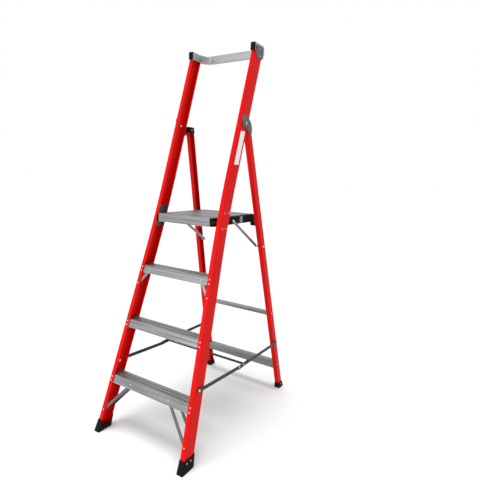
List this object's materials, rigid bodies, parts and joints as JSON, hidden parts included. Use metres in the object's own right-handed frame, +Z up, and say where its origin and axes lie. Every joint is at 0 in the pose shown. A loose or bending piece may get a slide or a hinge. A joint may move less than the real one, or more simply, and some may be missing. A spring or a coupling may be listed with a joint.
{
  "type": "platform step ladder",
  "caption": "Self-supporting platform step ladder with flared red glass-fibre rails, metal treads, folding deck and rear legs, locking spreaders and a U-shaped top rail.",
  "frame": {"origin": "on the floor, at the middle of the footprint of the open ladder", "axes": "+Z up, the longest extent; +X to the right of a user who faces the treads, the shortest extent; +Y from the treads towards the rear legs"},
  "size_m": [0.6336, 1.0836, 2.1433],
  "materials": {
    "red_fibreglass": "pultruded red glass fibre, satin",
    "black_plastic": "moulded black plastic",
    "extruded_aluminium": "mill-finish extrusion",
    "grey_steel": "dull grey steel",
    "coated_steel": "dark grey coated flat bar",
    "zinc_steel": "zinc plated"
  },
  "bodies": {
    "front_frame": {"front_stile_left": "red_fibreglass", "front_stile_right": "red_fibreglass", "front_foot_left": "black_plastic", "front_foot_right": "black_plastic", "tread_1": "extruded_aluminium", "tread_2": "extruded_aluminium", "tread_3": "extruded_aluminium", "tread_1_brace_front_left": "extruded_aluminium", "tread_1_brace_front_right": "extruded_aluminium", "tread_1_brace_rear_left": "extruded_aluminium", "tread_1_brace_rear_right": "extruded_aluminium", "tread_3_brace_left": "extruded_aluminium", "tread_3_brace_right": "extruded_aluminium", "deck_bracket_left": "extruded_aluminium", "deck_bracket_right": "extruded_aluminium", "deck_pivot_bolt_left": "zinc_steel", "deck_pivot_bolt_right": "zinc_steel", "hinge_bolt_left": "zinc_steel", "hinge_bolt_right": "zinc_steel", "spreader_front_bolt_left": "zinc_steel", "spreader_front_bolt_right": "zinc_steel", "top_rail": "extruded_aluminium", "top_rail_plug_left": "black_plastic", "top_rail_plug_right": "black_plastic", "top_rail_bracket_left": "grey_steel", "top_rail_bracket_right": "grey_steel"},
    "rear_frame": {"rear_leg_left": "red_fibreglass", "rear_leg_right": "red_fibreglass", "rear_foot_left": "black_plastic", "rear_foot_right": "black_plastic", "rear_cap_left": "black_plastic", "rear_cap_right": "black_plastic", "rear_bar_upper": "extruded_aluminium", "rear_bar_lower": "extruded_aluminium", "hinge_plate_left": "grey_steel", "hinge_plate_right": "grey_steel", "deck_rest_left": "black_plastic", "deck_rest_right": "black_plastic", "strut_foot_bolt_left": "zinc_steel", "strut_foot_bolt_right": "zinc_steel", "spreader_rear_bolt_left": "zinc_steel", "spreader_rear_bolt_right": "zinc_steel"},
    "deck": {"deck_plank_front": "extruded_aluminium", "deck_plank_middle": "extruded_aluminium", "deck_plank_rear": "extruded_aluminium", "deck_side_left": "black_plastic", "deck_side_right": "black_plastic"},
    "deck_strut_left": {"deck_strut_left": "grey_steel", "strut_top_pin_left": "zinc_steel"},
    "deck_strut_right": {"deck_strut_right": "grey_steel", "strut_top_pin_right": "zinc_steel"},
    "spreader_front_arm_left": {"spreader_front_arm_left": "coated_steel"},
    "spreader_front_arm_right": {"spreader_front_arm_right": "coated_steel"},
    "spreader_knee": {"spreader_knee_left": "coated_steel", "spreader_knee_right": "coated_steel", "spreader_tie_bar": "coated_steel"},
    "spreader_rear_arm_left": {"spreader_rear_arm_left": "coated_steel"},
    "spreader_rear_arm_right": {"spreader_rear_arm_right": "coated_steel"}
  },
  "joints": [
    {"name": "rear_frame_fold", "type": "hinge", "parent": "front_frame", "child": "rear_frame", "pos_m": [0, 0.04788, 1.704], "axis": [-1, 0, 0], "range_deg": [0, 30]},
    {"name": "deck_fold", "type": "hinge", "parent": "front_frame", "child": "deck", "pos_m": [0, -0.13832, 1.16], "axis": [1, 0, 0], "range_deg": [0, 72.02]},
    {"name": "deck_strut_swing_left", "type": "hinge", "parent": "rear_frame", "child": "deck_strut_left", "pos_m": [-0.2015, 0.27294, 1], "axis": [-1, 0, 0], "range_deg": [0, 27.97]},
    {"name": "deck_strut_swing_right", "type": "hinge", "parent": "rear_frame", "child": "deck_strut_right", "pos_m": [0.2015, 0.27294, 1], "axis": [-1, 0, 0], "range_deg": [0, 27.97]},
    {"name": "spreader_front_arm_swing_left", "type": "hinge", "parent": "front_frame", "child": "spreader_front_arm_left", "pos_m": [-0.29, -0.38899, 0.365], "axis": [1, 0, 0], "range_deg": [0, 75.95]},
    {"name": "spreader_front_arm_swing_right", "type": "hinge", "parent": "front_frame", "child": "spreader_front_arm_right", "pos_m": [0.29, -0.38899, 0.365], "axis": [1, 0, 0], "range_deg": [0, 75.95]},
    {"name": "spreader_knee_fold", "type": "hinge", "parent": "spreader_front_arm_right", "child": "spreader_knee", "pos_m": [0.29, -0.02353, 0.343], "axis": [-1, 0, 0], "range_deg": [0, 98.25]},
    {"name": "spreader_rear_arm_swing_left", "type": "hinge", "parent": "rear_frame", "child": "spreader_rear_arm_left", "pos_m": [-0.2961, 0.43019, 0.345], "axis": [-1, 0, 0], "range_deg": [0, 76.7]},
    {"name": "spreader_rear_arm_swing_right", "type": "hinge", "parent": "rear_frame", "child": "spreader_rear_arm_right", "pos_m": [0.2961, 0.43019, 0.345], "axis": [-1, 0, 0], "range_deg": [0, 76.7]}
  ],
  "couplings": [
    {"joint": "deck_fold", "follows": "rear_frame_fold", "ratio": 2.4007},
    {"joint": "deck_strut_swing_left", "follows": "rear_frame_fold", "ratio": 0.93224},
    {"joint": "deck_strut_swing_right", "follows": "rear_frame_fold", "ratio": 0.93224},
    {"joint": "spreader_front_arm_swing_left", "follows": "rear_frame_fold", "ratio": 2.5315},
    {"joint": "spreader_front_arm_swing_right", "follows": "rear_frame_fold", "ratio": 2.5315},
    {"joint": "spreader_knee_fold", "follows": "rear_frame_fold", "ratio": 3.2749},
    {"joint": "spreader_rear_arm_swing_left", "follows": "rear_frame_fold", "ratio": 2.5566},
    {"joint": "spreader_rear_arm_swing_right", "follows": "rear_frame_fold", "ratio": 2.5566}
  ]
}
